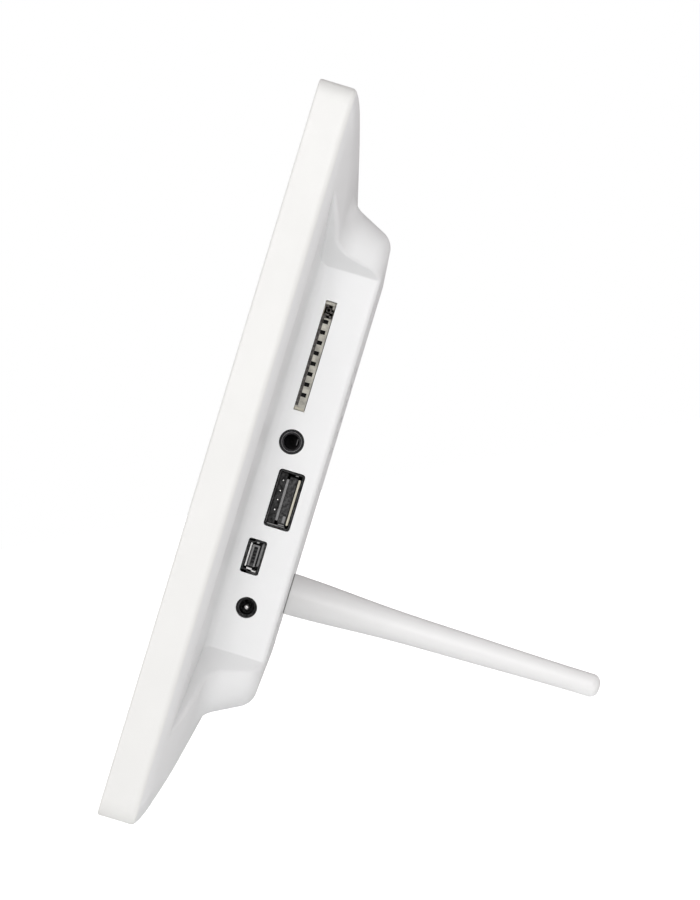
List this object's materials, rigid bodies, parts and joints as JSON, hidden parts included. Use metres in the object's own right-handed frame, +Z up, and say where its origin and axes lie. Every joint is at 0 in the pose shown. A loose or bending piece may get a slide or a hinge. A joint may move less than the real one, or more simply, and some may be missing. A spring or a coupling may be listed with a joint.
{
  "type": "digital photo frame",
  "caption": "Landscape digital photo frame with a domed back, side sockets in a flared bay, back buttons, hanging keyholes and a tapered screw-in stand rod.",
  "frame": {"origin": "bottom centre of the whole object's box, standing on its rear bottom edge and rod tip", "axes": "+Z up, the screen faces -Y and leans back, the sockets are on the +X side"},
  "size_m": [0.21, 0.121, 0.1543],
  "materials": {
    "bezel_white": "satin moulded",
    "cover_white": "fine satin",
    "rod_white": "semi-gloss",
    "button_white": "semi-gloss",
    "screen_glass": "anti-glare",
    "clear_acrylic": "polished",
    "tray_white": "matt",
    "steel": "pressed sheet",
    "screw_steel": "zinc plated",
    "brass": "turned",
    "contact_gold": "plated",
    "black_plastic": "fine",
    "beige_plastic": "fine",
    "board_green": "solder mask",
    "chip_black": "moulded",
    "foam": "closed cell",
    "washer_rubber": "soft",
    "cone_paper": "pressed paper",
    "ribbon_amber": "film",
    "lead_sleeve": "smooth"
  },
  "bodies": {
    "case": {"audio_contacts": "contact_gold", "audio_jack": "black_plastic", "backlight_tray": "tray_white", "board_capacitors": "steel", "board_chips": "chip_black", "board_connectors": "beige_plastic", "board_screws": "screw_steel", "button_board": "board_green", "button_board_screws": "screw_steel", "button_ribbon": "ribbon_amber", "case_screws": "screw_steel", "clip_screws": "screw_steel", "dc_jack": "black_plastic", "dc_pin": "steel", "display_clips": "steel", "display_frame": "steel", "display_gasket": "foam", "display_glass": "screen_glass", "display_ribbon": "ribbon_amber", "driver_board": "board_green", "front_bezel": "bezel_white", "light_guide": "clear_acrylic", "main_board": "board_green", "mini_usb_contacts": "contact_gold", "mini_usb_shell": "steel", "mini_usb_tongue": "black_plastic", "rear_cover": "cover_white", "sd_contacts": "contact_gold", "sd_latch": "black_plastic", "sd_socket_body": "beige_plastic", "sd_socket_shell": "steel", "speaker_cone_left": "cone_paper", "speaker_cone_right": "cone_paper", "speaker_lead_left": "lead_sleeve", "speaker_lead_right": "lead_sleeve", "speaker_left": "steel", "speaker_right": "steel", "stand_insert": "brass", "tact_switches": "black_plastic", "usb_a_contacts": "contact_gold", "usb_a_shell": "steel", "usb_a_spacer": "black_plastic", "usb_a_tongue": "black_plastic"},
    "washer": {"stand_washer": "washer_rubber"},
    "rod": {"stand_rod": "rod_white", "stand_stud": "screw_steel"},
    "power_button": {"button_power": "button_white"},
    "menu_button": {"button_menu": "button_white"},
    "left_button": {"button_left": "button_white"},
    "enter_button": {"button_enter": "button_white"},
    "right_button": {"button_right": "button_white"},
    "play_button": {"button_play": "button_white"},
    "mode_button": {"button_mode": "button_white"}
  },
  "joints": [
    {"name": "stand_travel", "type": "slide", "parent": "case", "child": "washer", "axis": [0, 0.8874, -0.4611], "range_m": [0, 0.009]},
    {"name": "stand_turn", "type": "hinge", "parent": "washer", "child": "rod", "pos_m": [0, -0.01291, 0.03971], "axis": [0, 0.8874, -0.4611], "range_deg": [0, 1080.1]},
    {"name": "press_power", "type": "slide", "parent": "case", "child": "power_button", "axis": [0, -0.8874, 0.4611], "range_m": [0, 0.0005], "stiffness_N_per_m": 1500, "springref_m": -0.0004},
    {"name": "press_menu", "type": "slide", "parent": "case", "child": "menu_button", "axis": [0, -0.8874, 0.4611], "range_m": [0, 0.0005], "stiffness_N_per_m": 1500, "springref_m": -0.0004},
    {"name": "press_left", "type": "slide", "parent": "case", "child": "left_button", "axis": [0, -0.8874, 0.4611], "range_m": [0, 0.0005], "stiffness_N_per_m": 1500, "springref_m": -0.0004},
    {"name": "press_enter", "type": "slide", "parent": "case", "child": "enter_button", "axis": [0, -0.8874, 0.4611], "range_m": [0, 0.0005], "stiffness_N_per_m": 1500, "springref_m": -0.0004},
    {"name": "press_right", "type": "slide", "parent": "case", "child": "right_button", "axis": [0, -0.8874, 0.4611], "range_m": [0, 0.0005], "stiffness_N_per_m": 1500, "springref_m": -0.0004},
    {"name": "press_play", "type": "slide", "parent": "case", "child": "play_button", "axis": [0, -0.8874, 0.4611], "range_m": [0, 0.0005], "stiffness_N_per_m": 1500, "springref_m": -0.0004},
    {"name": "press_mode", "type": "slide", "parent": "case", "child": "mode_button", "axis": [0, -0.8874, 0.4611], "range_m": [0, 0.0005], "stiffness_N_per_m": 1500, "springref_m": -0.0004}
  ],
  "couplings": [
    {"joint": "stand_turn", "follows": "stand_travel", "rad_per_m": 2094.4}
  ]
}
